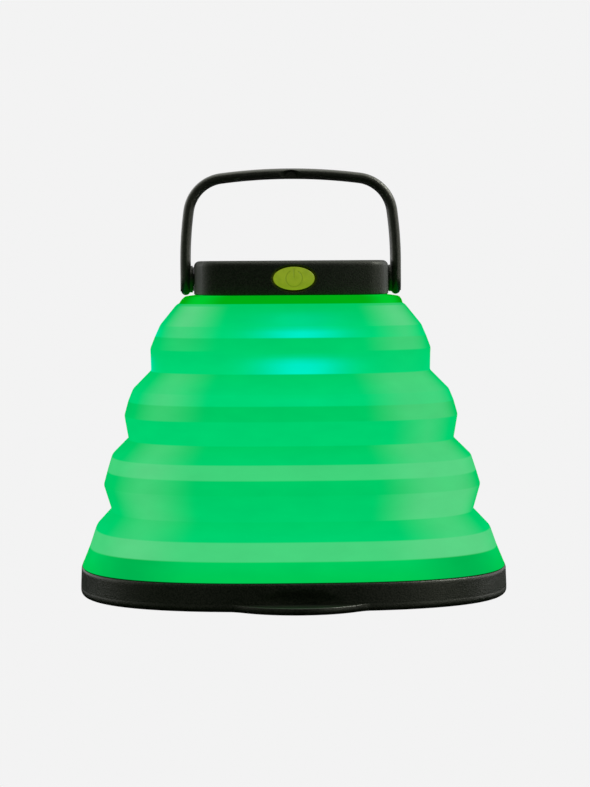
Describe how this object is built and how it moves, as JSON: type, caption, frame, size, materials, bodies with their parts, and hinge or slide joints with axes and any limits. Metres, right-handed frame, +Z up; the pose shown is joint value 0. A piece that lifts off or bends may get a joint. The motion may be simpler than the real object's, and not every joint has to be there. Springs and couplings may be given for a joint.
{
  "type": "camping lantern",
  "caption": "Collapsible lantern: tapering silicone bellows on a flat base, lamp head with power button, solar top and folding bail handle.",
  "frame": {"origin": "centre of the flat underside, on the surface that the lantern stands on", "axes": "+Z up, -Y towards the power button and pull tab, +X to the right seen from the front"},
  "size_m": [0.12, 0.128, 0.1191],
  "materials": {
    "case_plastic": "fine spark-eroded texture",
    "base_plastic": "fine spark-eroded texture",
    "inner_plastic": "moulded",
    "silicone": "translucent, lit from inside",
    "button_silicone": "satin",
    "dark_rubber": "matte",
    "white_plastic": "satin",
    "lens_plastic": "frosted",
    "diode": "gloss",
    "board": "solder mask",
    "dark_parts": "moulded",
    "steel": "zinc plated",
    "cell_foil": "foil",
    "foam": "foam",
    "red_wire": "insulation",
    "panel_backing": "laminate",
    "solar_cell": "silicon with silver fingers",
    "glaze": "clear"
  },
  "bodies": {
    "base": {"base_ring": "base_plastic", "base_plate": "inner_plastic", "clamp_frame": "inner_plastic", "base_screws": "steel", "foot_pads": "dark_rubber", "bellows": "silicone"},
    "head": {"head_shell": "case_plastic", "neck_ring": "white_plastic", "diffuser_lens": "lens_plastic", "head_screws": "steel", "reflector_tray": "white_plastic", "white_leds": "diode", "colour_leds": "diode", "circuit_board": "board", "board_chips": "dark_parts", "battery_cell": "cell_foil", "battery_pad": "foam", "battery_leads": "red_wire", "panel_leads": "dark_parts", "tact_switch": "dark_parts", "usb_socket": "steel", "usb_tongue": "dark_parts", "top_cover": "case_plastic", "solar_panel": "panel_backing", "solar_cells": "solar_cell", "panel_glaze": "glaze", "pivot_pins": "steel", "pivot_washers": "inner_plastic"},
    "bail": {"handle": "case_plastic"},
    "button": {"button_cap": "button_silicone", "switch_plunger": "white_plastic"},
    "flap": {"port_cover": "dark_rubber"}
  },
  "joints": [
    {"name": "collapse", "type": "slide", "parent": "base", "child": "head", "axis": [0, 0, 1], "range_m": [-0.055, 0], "deforming": ["bellows"]},
    {"name": "handle_swing", "type": "hinge", "parent": "head", "child": "bail", "pos_m": [0, 0, 0.08785], "axis": [1, 0, 0], "range_deg": [-90, 90]},
    {"name": "power_button", "type": "slide", "parent": "head", "child": "button", "axis": [0, 1, 0], "range_m": [0, 0.0005], "stiffness_N_per_m": 1000, "springref_m": -0.0008},
    {"name": "port_cover_hinge", "type": "hinge", "parent": "head", "child": "flap", "pos_m": [0, 0.0269, 0.091], "axis": [1, 0, 0], "range_deg": [0, 180]}
  ]
}
